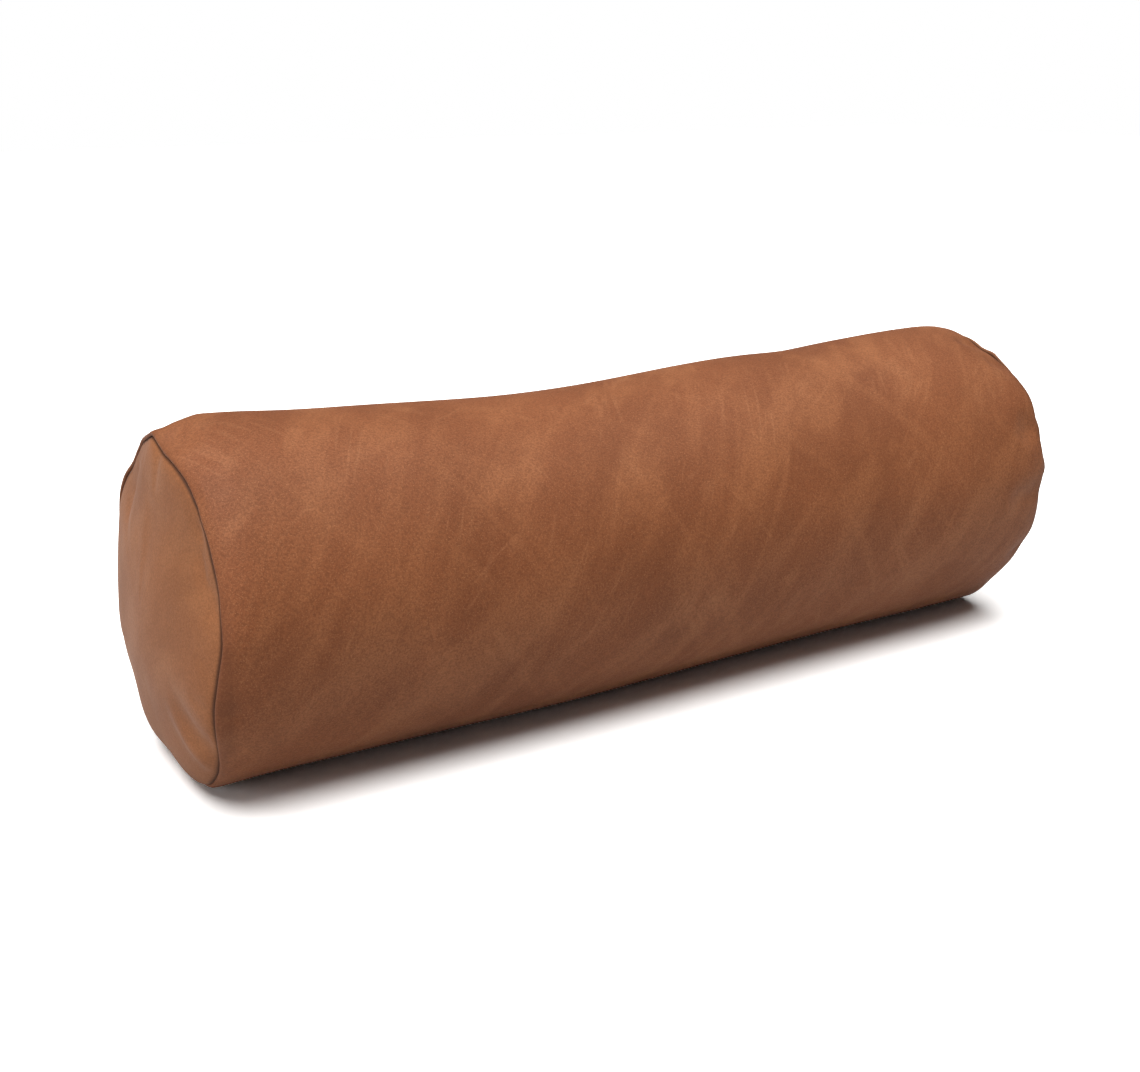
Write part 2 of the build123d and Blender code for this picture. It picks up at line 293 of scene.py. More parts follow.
def dome_puff(turn, side):
    """How far an end panel swells outwards over its seam."""
    front = turned(turn)
    if side < 0:
        puff = 1.5 + 3.0 * bell(front - 2.15, 0.30) + 4.0 * bell(np.abs(front) - 2.8, 0.5)
    else:
        puff = 2.0 + 9.8 * bell(front - 0.34, 0.36)
        puff += 7.0 * bell(front - 1.08, 0.10) + 5.0 * bell(front - 1.38, 0.12)
    return puff * MM * zip_quiet(turn)


def dome_points(share, turn, side, depth, base=HALF - RIM_DEPTH, top=DOME_TOP, inner=0.0):
    """Points on an end panel. depth is measured inwards from the cover's outside."""
    rim = body_radius(side * base, turn)
    height = dome_height(share, top - base) + dome_extra(share, turn, side) * smooth((1.02 - share) * 14)
    reach = rim_reach(turn, side) * share ** 3
    swell = share ** 6 * (1 - share ** 30 if side < 0 else smooth((0.988 - share) / 0.045))
    radius = share * (rim - depth) + dome_puff(turn, side) * swell
    return place(side * (base + height - inner + reach), radius, turn)


def sim_skin():
    """The starting shape: a disc, the body and a disc, as rows round the bolster."""
    turns = ring(SIM_TURNS)
    shares = np.sin(np.linspace(0.05, 1, SIM_RINGS) * math.pi / 2)
    rows = [dome_points(s, turns, -1, FLANGE_DEPTH) for s in shares]
    rows += [skin(x, turns) for x in np.linspace(-HALF, HALF, SIM_ROWS)]
    rows += [dome_points(s, turns, 1, FLANGE_DEPTH) for s in shares[::-1]]
    return np.array(rows)


def sim_object(start):
    """The starting shape as an object, with a group that says how tight each point's cloth gets."""
    rows, columns = start.shape[:2]
    mesh = bpy.data.meshes.new("sim_skin")
    mesh.from_pydata(start.reshape(-1, 3).tolist(), [], grid_faces(rows, columns) + caps(rows, columns))
    thing = new_object("sim_skin", mesh)
    group = thing.vertex_groups.new(name="tight")
    for i in range(rows):
        from_seam = min(abs(i - SIM_RINGS + 0.5), abs(i - (rows - SIM_RINGS) + 0.5))
        pull = bell(from_seam, 1.6) * (0.7 + 0.3 * waves(0, ring(columns), 71, 1.0, 15))
        for j in np.nonzero(pull > 0.02)[0]:
            group.add([int(i * columns + j)], float(min(1, pull[j])), "REPLACE")
    return thing


def add_cloth(thing):
    """Cloth with pressure inside it and tightened seams, and no gravity."""
    modifier = thing.modifiers.new("cloth", "CLOTH")
    settings = modifier.settings
    settings.quality = 6
    settings.mass = 0.4
    settings.tension_stiffness = 40
    settings.compression_stiffness = 40
    settings.shear_stiffness = 12
    settings.bending_stiffness = 4
    settings.air_damping = 4
    settings.use_pressure = True
    settings.uniform_pressure_force = 3.0
    settings.vertex_group_shrink = "tight"
    settings.shrink_min = 0.0
    settings.shrink_max = 0.06
    settings.effector_weights.gravity = 0
    modifier.collision_settings.use_collision = False


def simulate_skin():
    """How far pressure and the tight end seams move the skin, as a grid of small vectors."""
    start = sim_skin()
    rows = len(start)
    thing = sim_object(start)
    add_cloth(thing)
    scene = bpy.context.scene
    for step in range(1, SIM_FRAMES + 1):
        scene.frame_set(step)
    shaped = thing.evaluated_get(bpy.context.evaluated_depsgraph_get()).to_mesh()
    moved = mesh_points(shaped).reshape(start.shape) - start
    bpy.data.objects.remove(thing)
    scene.frame_set(1)
    moved[SIM_RINGS:-SIM_RINGS] -= moved[SIM_RINGS + 4:-SIM_RINGS - 4].mean((0, 1))
    # The discs and the body are brought to move as one where they are sewn together
    for disc, body, way in ((SIM_RINGS - 1, SIM_RINGS, 1), (rows - SIM_RINGS, rows - SIM_RINGS - 1, -1)):
        apart = moved[body] - moved[disc]
        for k, part in enumerate((0.5, 0.35, 0.2, 0.08)):
            moved[body + way * k] -= part * apart
            moved[disc - way * k] += part * apart
    calm = np.linspace(0, 1, SIM_RINGS)[:, None, None] ** 4
    moved[:SIM_RINGS] *= calm
    moved[-SIM_RINGS:] *= calm[::-1]
    length = np.linalg.norm(moved, axis=-1, keepdims=True)
    return moved * np.minimum(1, SIM_CAP / np.maximum(length, 1e-9))


def cubic(grid, at, wrap):
    """Rows of a grid, read between its rows by a Catmull-Rom spline."""
    count = len(grid)
    base = np.floor(at).astype(int)
    t = (at - base)[:, None, None]
    pick = (lambda i: i % count) if wrap else (lambda i: np.clip(i, 0, count - 1))
    a, b, c, d = (grid[pick(base + k)] for k in (-1, 0, 1, 2))
    bend = a - 2.5 * b + 2 * c - d / 2
    return b + t * (c - a) / 2 + t ** 2 * bend + t ** 3 * (1.5 * (b - c) + (d - a) / 2)


def sim_move(rows, turns):
    """The simulated movement at every pairing of a row place and a turn."""
    along = cubic(SIM_MOVE, rows, False)
    return cubic(along.transpose(1, 0, 2), turns * SIM_TURNS / TAU, True).transpose(1, 0, 2)


def settle(points, rows, turns):
    """Adds the simulated movement, less by the zip and towards the floor."""
    if SIM_MOVE is not None:
        aloft = 1 - smooth((-np.cos(turns) - 0.72) / 0.20)
        quiet = (zip_quiet(turns) * aloft)[None, :, None]
        points = points + quiet * sim_move(rows, turns)
    return points


def on_floor(points, depth):
    """Keeps points at least depth above the floor, with a soft edge to the contact."""
    soft = 2.0 * MM
    height = points[..., 2] - depth
    eased = (np.clip(height, -soft, soft) + soft) ** 2 / (4 * soft)
    points[..., 2] = depth + np.where(height > soft, height, eased)
    return points


def body_row(x):
    """Which row of the simulated grid lies at x."""
    return SIM_RINGS + np.clip((x + HALF) / (2 * HALF), 0, 1) * (SIM_ROWS - 1)


# ---- meshes

def new_object(name, mesh):
    thing = bpy.data.objects.new(name, mesh)
    bpy.context.scene.collection.objects.link(thing)
    return thing


def grid_faces(rows, columns, wrap=True, skip=None):
    """Quads between neighbouring rows and columns, without the cells that skip marks."""
    faces = []
    for i in range(rows - 1):
        for j in range(columns if wrap else columns - 1):
            if skip is not None and skip(i, j):
                continue
            k = (j + 1) % columns
            a, b = i * columns, (i + 1) * columns
            faces.append((a + j, a + k, b + k, b + j))
    return faces


def caps(rows, columns):
    """The two faces that close a tube's ends."""
    return [tuple(range(columns))[::-1], tuple((rows - 1) * columns + k for k in range(columns))]


def mesh_points(mesh):
    co = np.zeros(len(mesh.vertices) * 3)
    mesh.vertices.foreach_get("co", co)
    return co.reshape(-1, 3)


def mesh_object(name, points, faces):
    """A smooth mesh with its faces turned outwards and no loose points."""
    mesh = bpy.data.meshes.new(name)
    mesh.from_pydata(np.asarray(points, float).reshape(-1, 3).tolist(), [], faces)
    work = bmesh.new()
    work.from_mesh(mesh)
    loose = [v for v in work.verts if not v.link_faces]
    bmesh.ops.delete(work, geom=loose, context="VERTS")
    bmesh.ops.recalc_face_normals(work, faces=work.faces)
    work.to_mesh(mesh)
    work.free()
    mesh.shade_smooth()
    return new_object(name, mesh)


def set_value(thing, name, values):
    attribute = thing.data.attributes.new(name, "FLOAT", "POINT")
    attribute.data.foreach_set("value", np.asarray(values, np.float32).ravel())


def thicken(thing, thickness):
    """Gives a sheet its real thickness, half to each side, as a closed solid."""
    modifier = thing.modifiers.new("thickness", "SOLIDIFY")
    modifier.thickness = thickness
    modifier.offset = 0
    modifier.use_quality_normals = True
    shaped = thing.evaluated_get(bpy.context.evaluated_depsgraph_get())
    mesh = bpy.data.meshes.new_from_object(shaped)
    thing.modifiers.clear()
    thing.data = mesh
    mesh.shade_smooth()


def finish_piece(thing, material, slot, *nodes, fill=None):
    """Gives a piece its material and its place in the model, and hides the CAD nodes that it stands for."""
    thing.data.materials.clear()
    thing.data.materials.append(material)
    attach(thing, "cover")
    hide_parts(*nodes)


# ---- leather cover

def fold_path(edge, thickness, hem, steps=7):
    """A turned-in edge as (distance along, depth) pairs: round the fold, then back under the cloth."""
    bend = (thickness + PLY_GAP) / 2
    centre = edge - bend - thickness / 2
    angles = np.linspace(0, math.pi, steps)[1:]
    round_part = [(centre + bend * math.sin(a), thickness / 2 + bend * (1 - math.cos(a))) for a in angles]
    back = [(centre - hem * t, thickness / 2 + 2 * bend) for t in (0.15, 0.45, 0.75, 1.0)]
    return centre, round_part + back


def body_xs(half, thickness, hem, spacing):
    """Places along the tube from hem to hem, and how deep each lies."""
    centre, fold = fold_path(half, thickness, hem)
    fine = [centre - d * MM for d in (1.0, 2.2, 3.6, 5.2, 7.0, 9.0)]
    inner = fine[-1] - 2 * MM
    middle = list(np.linspace(-inner, inner, int(2 * inner / spacing)))
    edge = fine[::-1] + [centre] + [x for x, _ in fold]
    under = [thickness / 2] * (len(fine) + 1) + [d for _, d in fold]
    xs = [-x for x in edge[::-1]] + middle + edge
    depths = under[::-1] + [thickness / 2] * len(middle) + under
    return np.array(xs), np.array(depths)


def body_turns(count, fine):
    """Turns round the tube, with a few close columns by the long seam."""
    close = sorted({s * d for d in fine for s in (-1, 1)})
    close = [ZIP_TURN + d / RADIUS for d in close]
    rest = np.linspace(close[-1], close[0] + TAU, count + 1)[1:-1]
    return np.array(close + list(rest)), len(close)


def leather_body():
    """The tube of leather: hems at both rims, and a hemmed slot for the zip."""
    slot_edge = -fold_path(-SLOT_HALF_WIDTH, LEATHER, HEM)[0]
    xs, depths = body_xs(HALF, LEATHER, HEM, 3.2 * MM)
    slot_x = SLOT_END + (slot_edge - SLOT_HALF_WIDTH)
    for side in (-1, 1):
        xs[np.argmin(np.abs(xs - side * slot_x))] = side * slot_x
    fine = [d * MM for d in (0.0, 0.35, 0.8, 1.5, 2.6, 4.2)]
    fine += [slot_edge + d * MM for d in (0.0, 1.6, 3.6)]
    turns, close = body_turns(176, fine)
    x_grid, turn_grid, depths = xs[:, None], turns[None, :], depths[:, None]
    radius = body_radius(x_grid, turn_grid) + seam_groove(x_grid, turn_grid)
    points = place(strayed(x_grid, turn_grid), radius - depths, turn_grid)
    points = on_floor(settle(points, body_row(xs), turns), depths)
    gap_rows = [i for i in range(len(xs) - 1) if max(abs(xs[i]), abs(xs[i + 1])) < slot_x + 1e-7]
    lane = [j for j in range(close) if abs(turned(turns[j] - ZIP_TURN)) * RADIUS < slot_edge + 1e-7]
    low, high = gap_rows[0], gap_rows[-1] + 1
    rows, columns = points.shape[:2]
    faces = grid_faces(rows, columns, True, lambda i, j: low <= i < high and j in lane[:-1])
    loop = [(i, lane[0]) for i in range(low, high)] + [(high, j) for j in lane[:-1]]
    loop += [(i, lane[-1]) for i in range(high, low, -1)] + [(low, j) for j in lane[:0:-1]]
    extra = slot_hem(points, loop, (low, high), lane)
    first = rows * columns
    ring_ids = [[i * columns + j for i, j in loop]]
    for k in range(len(extra)):
        ring_ids.append([first + k * len(loop) + n for n in range(len(loop))])
    for outer, inner in zip(ring_ids, ring_ids[1:]):
        for n in range(len(loop)):
            m = (n + 1) % len(loop)
            faces.append((outer[n], outer[m], inner[m], inner[n]))
    every = np.concatenate([points.reshape(-1, 3), np.array(extra).reshape(-1, 3)])
    piece = mesh_object("leather_body", every, faces)
    seam_shade_and_edge_wear(piece)
    thicken(piece, LEATHER)
    return piece


def slot_hem(points, loop, corner_rows, lane):
    """Rings that carry the slot's edge round its fold and back under the leather."""
    centre, fold = fold_path(0.0, LEATHER, HEM)
    base = np.array([points[i, j] for i, j in loop])
    across, normal = zip_frame()
    along = np.array([1.0, 0, 0])
    away = []
    for i, j in loop:
        step_x = (i == corner_rows[1]) - (i == corner_rows[0])
        step_turn = (j == lane[-1]) - (j == lane[0])
        away.append(step_x * along + step_turn * across)
    away = np.array(away)
    rings = []
    for distance, depth in fold:
        rings.append(base - away * (distance - centre) - normal * (depth - LEATHER / 2))
    return rings


def seam_shade_and_edge_wear(piece):
    """1 on the turned edges at the rims and the slot and along the long seam, falling to 0 a few millimetres
    away: partly edge wear, partly painted shade in the seam grooves.
    """
    x, y, z = mesh_points(piece.data).T
    across = np.abs(turned(np.arctan2(-y, z - AXIS) - ZIP_TURN)) * RADIUS
    # Painted shade and wear: the turned edges at the rims and the slot are darkened, partly as worn edges,
    # partly as the shade of the seam grooves.
    rim = near_end(np.abs(x), 1, 2.5 * MM)
    slot = np.exp(-np.clip(across - SLOT_HALF_WIDTH, 0, 1) / (2.0 * MM)) * (np.abs(x) < SLOT_END + 8 * MM)
    # Painted shade: a dark line along the groove of the long seam.
    seam = bell(across, 1.5 * MM)
    set_value(piece, "seam_shade_and_wear", np.clip(rim + slot + seam, 0, 1))


def end_panel(name, side, depth, thickness, base, top, hem, counts=(46, 200)):
    """A disc of cloth that swells past its seam, with its edge turned in along the tube."""
    rings, columns = counts
    turns = ring(columns)
    shares = np.sin(np.linspace(0, 1, rings + 1)[1:] * math.pi / 2)
    flange = side * (base - np.array([1.0 * MM, 2.5 * MM, 4.5 * MM, 7.0 * MM, hem]))
    rows = [dome_points(share, turns, side, depth, base, top, thickness / 2) for share in shares]
    rows += [skin(x, turns, depth) for x in flange]
    points = np.array(rows)
    places = np.interp(shares, [0.05, 1], [0, SIM_RINGS - 1])
    if side > 0:
        places = 2 * SIM_RINGS + SIM_ROWS - 1 - places
    places = np.concatenate([places, body_row(flange)])
    points = on_floor(settle(points, places, turns), depth)
    faces = grid_faces(len(rows), columns)
    centre = points[0].mean(0)
    every = np.concatenate([points.reshape(-1, 3), centre[None]])
    hub = len(every) - 1
    faces += [(hub, (j + 1) % columns, j) for j in range(columns)]
    piece = mesh_object(name, every, faces)
    # Painted shade: a dark band on the panel within a few millimetres of its seam, for the shadow in the
    # seam's groove.
    from_seam = (1 - np.clip(np.concatenate([shares, np.ones(len(flange))]), 0, 1)) * RADIUS
    dark = 1.7 * MM if side < 0 else 3.2 * MM
    seam_shade_and_wear = 1 - smooth((from_seam - dark) / (1.8 * MM))
    set_value(piece, "seam_shade_and_wear", np.append(np.repeat(seam_shade_and_wear, columns), 0))
    thicken(piece, thickness)
    return piece


# ---- liner and fill

def liner_body():
    """The cotton tube inside, with a turned-in hem at each rim."""
    xs, depths = body_xs(LINER_HALF, COTTON, LINER_HEM, 6 * MM)
    turns = ring(120)
    wrinkle = 0.5 * MM * waves(xs[:, None], turns[None, :], 81, 0.05, 18, 16)
    depths = depths[:, None] + LINER_DEPTH + np.clip(wrinkle, -0.4 * MM, 1.2 * MM)
    points = skin(xs[:, None], turns[None, :], depths)
    points = on_floor(settle(points, body_row(xs), turns), depths)
    piece = mesh_object("liner_tube", points, grid_faces(len(xs), len(turns)))
    thicken(piece, COTTON)
    return piece


def fill_body():
    """The stuffing: one closed lumpy form inside the liner."""
    turns = ring(140)
    inset = HALF - (DOME_TOP - FILL_TOP) - RIM_DEPTH
    shares = np.sin(np.linspace(0, 1, 19)[1:] * math.pi / 2)
    xs = np.linspace(-inset + 6 * MM, inset - 6 * MM, 84)
    rows = [dome_points(s, turns, -1, FILL_DEPTH, inset - 3 * MM, FILL_TOP) for s in shares]
    rows += list(skin(xs[:, None], turns[None, :], FILL_DEPTH))
    rows += [dome_points(s, turns, 1, FILL_DEPTH, inset - 3 * MM, FILL_TOP) for s in shares[::-1]]
    points = np.array(rows)
    last = SIM_RINGS - 1
    places = np.concatenate([shares * last, body_row(xs), SIM_RINGS + SIM_ROWS + (1 - shares[::-1]) * last])
    points = settle(points, places, turns)
    centre = np.array([0, 0, AXIS])
    inside = 0.98 * inset - np.abs(points[..., 0])
    lumps = waves(points[..., 0], turns[None, :], 91, 0.03, 24, 20) * smooth(inside / (20 * MM))
    inward = (points - centre) * [0, 1, 1]
    inward /= np.maximum(np.linalg.norm(inward, axis=-1, keepdims=True), 1e-6)
    points = points - inward * (np.clip(0.6 + 0.8 * lumps, 0, 2.2) * MM)[..., None]
    points = on_floor(points, FILL_DEPTH)
    count = len(turns)
    faces = grid_faces(len(points), count)
    every = np.concatenate([points.reshape(-1, 3), points[0].mean(0)[None], points[-1].mean(0)[None]])
    left, right = len(every) - 2, len(every) - 1
    last = (len(points) - 1) * count
    faces += [(left, (j + 1) % count, j) for j in range(count)]
    faces += [(right, last + j, last + (j + 1) % count) for j in range(count)]
    return mesh_object("fibre_stuffing", every, faces)


# ---- thread

def stitch_mesh(length, thickness, rings=9, sides=9):
    """One stitch along X: two plies twisted together, dipping into the cloth at both ends."""
    t = np.linspace(-1, 1, rings)[:, None]
    a = ring(sides)[None, :]
    swell = np.sqrt(np.clip(1 - np.abs(t) ** 6, 0.02, 1))
    ply = 1 + 0.13 * np.cos(2 * (a - 2.6 * t))
    r = thickness / 2 * swell * ply
    dip = -0.55 * thickness * np.abs(t) ** 5
    x = t * length / 2 + 0 * a
    points = np.stack([x, r * np.cos(a), r * np.sin(a) + dip], -1).reshape(-1, 3)
    return points, grid_faces(rings, sides) + caps(rings, sides)


def stitches(name, spots, length, thickness):
    """Many stitches as one piece. A spot is its middle, its direction and the way out of the cloth."""
    shape, faces = stitch_mesh(length, thickness)
    points, every = [], []
    pick = np.random.default_rng(len(spots))
    for middle, along, out in spots:
        along = np.asarray(along, float) / np.linalg.norm(along)
        out = np.asarray(out, float)
        out = out - along * (out @ along)
        out /= np.linalg.norm(out)
        across = np.cross(out, along)
        tilt = pick.normal(0, 0.025)
        along, across = along + tilt * across, across - tilt * along
        first = len(points) * len(shape)
        points.append(np.asarray(middle) + shape[:, :1] * along + shape[:, 1:2] * across + shape[:, 2:] * out)
        every += [tuple(first + v for v in face) for face in faces]
    return mesh_object(name, np.concatenate(points), every)


def zip_frame():
    """The zip's own directions: across it, and out of the leather."""
    across = np.array([0, -math.cos(ZIP_TURN), -math.sin(ZIP_TURN)])
    out = np.array([0, -math.sin(ZIP_TURN), math.cos(ZIP_TURN)])
    return across, out


def zip_point(x, across, height):
    """A point at x, that far across the zip's middle and that far from the bolster's axis."""
    side, out = zip_frame()
    return np.array([x, 0, AXIS]) + side * across + out * height


def along_zip(start, end, pitch=STITCH_PITCH):
    count = int((end - start) / pitch)
    first = (start + end - (count - 1) * pitch) / 2
    return [first + i * pitch for i in range(count)]


def topstitch_row(name, side):
    """The row that holds a tape: on the leather, and again under the tape."""
    side_way, out = zip_frame()
    across = side * (SLOT_HALF_WIDTH + EDGE_TO_ROW)
    spots = []
    for radius, way in ((RADIUS + 0.32 * MM, 1), (RADIUS - TAPE_DEPTH - TAPE_THICK - 0.42 * MM, -1)):
        height = math.sqrt(radius ** 2 - across ** 2)
        lean = (side_way * across + out * height) / radius * way
        spots += [(zip_point(x, across, height), (1, 0, 0), lean) for x in along_zip(-SLOT_END, SLOT_END)]
    return stitches(name, spots, STITCH_LENGTH + 0.3 * MM, TOPSTITCH)


def end_tack(name, side):
    """A bar of close stitches across the end of the slot."""
    side_way, out = zip_frame()
    reach, pitch, length = SLOT_HALF_WIDTH + EDGE_TO_ROW, 1.1 * MM, 4.0 * MM
    spots = []
    for across in along_zip(-reach, reach + pitch, pitch):
        radius = RADIUS + 0.34 * MM
        height = math.sqrt(radius ** 2 - across ** 2)
        lean = (side_way * across + out * height) / radius
        spots.append((zip_point(side * (SLOT_END + EDGE_TO_ROW), across, height), (1, 0, 0), lean))
    return stitches(name, spots, length, TOPSTITCH)


def seam_ring(name, side, depth, x):
    """Stitches round the inside of an end seam."""
    turns = ring(144)
    line = skin(side * x, turns, depth)[None]
    points = on_floor(settle(line, body_row(np.array([side * x])), turns), depth)[0]
    spots = []
    for i, middle in enumerate(points):
        along = points[(i + 1) % len(points)] - points[i - 1]
        spots.append((middle, along, np.array([0, 0, AXIS]) + [middle[0], 0, 0] - middle))
    return stitches(name, spots, STITCH_LENGTH, SEAM_THREAD)


def long_seam(name, side):
    """Stitches inside the closed stretch of the long seam."""
    out = zip_frame()[1]
    height = RADIUS - 2.5 * MM - SEAM_THREAD / 2 - PLY_GAP
    start, end = sorted((side * TAPE_END, side * (HALF - 13 * MM)))
    spots = [(zip_point(x, 0, height), (1, 0, 0), -out) for x in along_zip(start, end)]
    return stitches(name, spots, STITCH_LENGTH, SEAM_THREAD)


def liner_closing():
    """The hand-sewn stitches that close the liner, along its top."""
    spots = []
    for x in along_zip(-SLOT_END / 2, SLOT_END / 2):
        point = place(x, body_radius(x, 0.0) - LINER_DEPTH + 0.35 * MM, 0.0)
        point = settle(point.reshape(1, 1, 3), body_row(np.array([x])), np.array([0.0]))[0, 0]
        spots.append((point, (1, 0, 0), (0, 0, 1)))
    return stitches("liner_closing_stitches", spots, STITCH_LENGTH, SEAM_THREAD)


# ---- zip

def zip_tape(name, side):
    """A woven tape: corded inner edge, ribs along it and a thin outer edge."""
    side_way, out = zip_frame()
    across = np.linspace(TAPE_INNER, TAPE_REACH, 40)
    xs = np.linspace(-TAPE_END, TAPE_END, 240)
    ribs = 0.05 * MM * np.cos(across * TAU / (0.9 * MM)) + 0.22 * MM * bell(across - 1.6 * MM, 0.5 * MM)
    weave = 0.02 * MM * np.cos(xs * TAU / (1.1 * MM))[:, None] * np.ones(len(across))
    middle = RADIUS - TAPE_DEPTH - TAPE_THICK / 2
    faces, layers = [], []
    for face in (1, -1):
        height = np.sqrt(middle ** 2 - across ** 2) + face * (TAPE_THICK / 2 - 0.06 * MM)
        lift = face * (ribs[None, :] * (0.2 if face > 0 else 1.0) + weave)
        grid = np.array([0, 0, AXIS]) + xs[:, None, None] * np.array([1.0, 0, 0])
        grid = grid + side * across[None, :, None] * side_way + (height[None, :] + lift)[..., None] * out
        layers.append(grid.reshape(-1, 3))
    rows, columns = len(xs), len(across)
    size = rows * columns
    faces += grid_faces(rows, columns, False)
    faces += [tuple(v + size for v in f[::-1]) for f in grid_faces(rows, columns, False)]
    border = [i * columns for i in range(rows)] + [(rows - 1) * columns + j for j in range(1, columns)]
    border += [i * columns + columns - 1 for i in range(rows - 2, -1, -1)] + list(range(columns - 2, 0, -1))
    for a, b in zip(border, border[1:] + border[:1]):
        faces.append((a, b, b + size, a + size))
    return mesh_object(name, np.concatenate(layers), faces)


def zip_coil(name, side):
    """One row of coil: a filament wound in flattened loops, parted past the slider's post."""
    side_way, out = zip_frame()
    pitch, wire = 1.8 * MM, 0.30 * MM
    middle, reach, lift, tall = 1.15 * MM, 1.62 * MM, 1.16 * MM, 0.80 * MM
    turns_count = int((COIL_END - COIL_START - 2 * wire) / pitch)
    per_turn, sides = 16, 7
    t = np.arange(turns_count * per_turn + 1) / per_turn
    offset = pitch / 2 if side > 0 else 0
    x = COIL_START + wire + offset + t * pitch
    keep = x < COIL_END - wire
    t, x = t[keep], x[keep]
    angle = t * TAU
    parted = 2.0 * MM * smooth((x - SLIDER_X + 3 * MM) / (5 * MM))
    squared = np.sign(np.cos(angle)) * np.abs(np.cos(angle)) ** 0.8
    across = side * (middle + parted - reach * squared)
    height = RADIUS - TAPE_DEPTH + lift + tall * np.sin(angle) * (1 + 0.12 * np.cos(angle))
    line = np.array([0, 0, AXIS]) + x[:, None] * np.array([1.0, 0, 0])
    line = line + across[:, None] * side_way + height[:, None] * out
    run = np.gradient(line, axis=0)
    run /= np.linalg.norm(run, axis=1, keepdims=True)
    up = np.cross(run, np.array([1.0, 0.05, 0.02]))
    up /= np.linalg.norm(up, axis=1, keepdims=True)
    other = np.cross(run, up)
    head = wire * (1 + 0.22 * np.clip(np.cos(angle), 0, 1) ** 4)
    a = ring(sides)
    tube = line[:, None] + head[:, None, None] * (
        np.cos(a)[None, :, None] * up[:, None] + np.sin(a)[None, :, None] * other[:, None])
    return mesh_object(name, tube, grid_faces(len(line), sides) + caps(len(line), sides))


# ---- materials

class Nodes:
    """A short way to write a material's nodes."""

    def __init__(self, name):
        self.material = bpy.data.materials.new(name)
        self.material.use_nodes = True
        self.tree = self.material.node_tree
        self.tree.nodes.clear()
        self.out = self.node("OutputMaterial")
        self.shader = self.node("BsdfPrincipled")
        self.link(self.shader.outputs[0], self.out.inputs["Surface"])
        self.place = self.node("TexCoord").outputs["Object"]
        self.long_way = True

    def link(self, a, b):
        self.tree.links.new(a, b)

    def feed(self, socket, value):
        if isinstance(value, bpy.types.NodeSocket):
            self.link(value, socket)
        elif value is not None:
            socket.default_value = value

    def fill_in(self, node, **inputs):
        """Sets or links a node's inputs, named with _ for each space."""
        for name, value in inputs.items():
            self.feed(node.inputs[name.replace("_", " ")], value)

    def node(self, kind, **inputs):
        node = self.tree.nodes.new("ShaderNode" + kind)
        self.fill_in(node, **inputs)
        return node

    def mapped(self, rotation=(0, 0, 0), scale=(1, 1, 1), location=(0, 0, 0)):
        turn = [math.radians(r) for r in rotation]
        node = self.node("Mapping", Rotation=turn, Scale=scale, Location=location, Vector=self.place)
        return node.outputs[0]

    def twisted(self, lean, stretch, shift):
        """Coordinates wound round the bolster, so that what is stretched along it runs at a lean."""
        node = self.node("VectorRotate", Center=(0, 0, AXIS))
        node.rotation_type = "X_AXIS"
        along = self.node("SeparateXYZ", Vector=self.place).outputs[0]
        wound = math.tan(math.radians(lean)) / RADIUS if self.long_way else 0.0
        self.fill_in(node, Vector=self.place, Angle=self.math("MULTIPLY", along, wound))
        scale = (1 / stretch if self.long_way else 0.7, 1, 1)
        location = (shift, 0.3 * shift, 0.7 * shift)
        return self.node("Mapping", Scale=scale, Location=location, Vector=node.outputs[0]).outputs[0]

    def noise(self, scale, detail=2.0, rough=0.5, distortion=0.0, where=None):
        node = self.node("TexNoise", Scale=scale, Detail=detail, Roughness=rough, Distortion=distortion,
                         Vector=self.place if where is None else where)
        return node.outputs["Fac"]

    def cells(self, scale):
        return self.node("TexVoronoi", Scale=scale, Vector=self.place).outputs["Distance"]

    def math(self, kind, a, b=None):
        node = self.node("Math")
        node.operation = kind
        for socket, value in zip(node.inputs, (a, b)):
            self.feed(socket, value)
        return node.outputs[0]

    def span(self, value, low, high, to_low=0.0, to_high=1.0):
        """value mapped smoothly from low..high to to_low..to_high."""
        node = self.node("MapRange")
        node.interpolation_type = "SMOOTHSTEP"
        for socket, number in zip(node.inputs, (value, low, high, to_low, to_high)):
            self.feed(socket, number)
        return node.outputs[0]

    def mix(self, share, a, b):
        node = self.node("Mix")
        node.data_type = "RGBA"
        self.feed(node.inputs[0], share)
        for socket, value in ((node.inputs[6], a), (node.inputs[7], b)):
            self.feed(socket, value if isinstance(value, bpy.types.NodeSocket) else (*value, 1.0))
        return node.outputs[2]

    def value(self, name):
        node = self.node("Attribute")
        node.attribute_name = name
        return node.outputs["Fac"]

    def bump(self, height, distance, strength, under=None):
        return self.node("Bump", Strength=strength, Distance=distance, Height=height, Normal=under).outputs[0]

    def done(self, color, roughness, normal, **fixed):
        self.fill_in(self.shader, Base_Color=color, Roughness=roughness, Normal=normal, **fixed)
        return self.material


def vein(n, lean, stretch, scale, width, shift):
    """Thin soft lines that run one way and fade out, such as old creases in a hide."""
    wander = n.noise(scale, 1.5, 0.5, 0.5, n.twisted(lean, stretch, shift))
    line = n.span(n.math("ABSOLUTE", n.math("SUBTRACT", wander, 0.5)), 0.0, width, 1.0, 0.0)
    seen = n.span(n.noise(scale * 0.8, 2.0, 0.5, 0.0, n.mapped(location=(shift, 2, 5))), 0.54, 0.70)
    return n.math("MULTIPLY", line, seen)


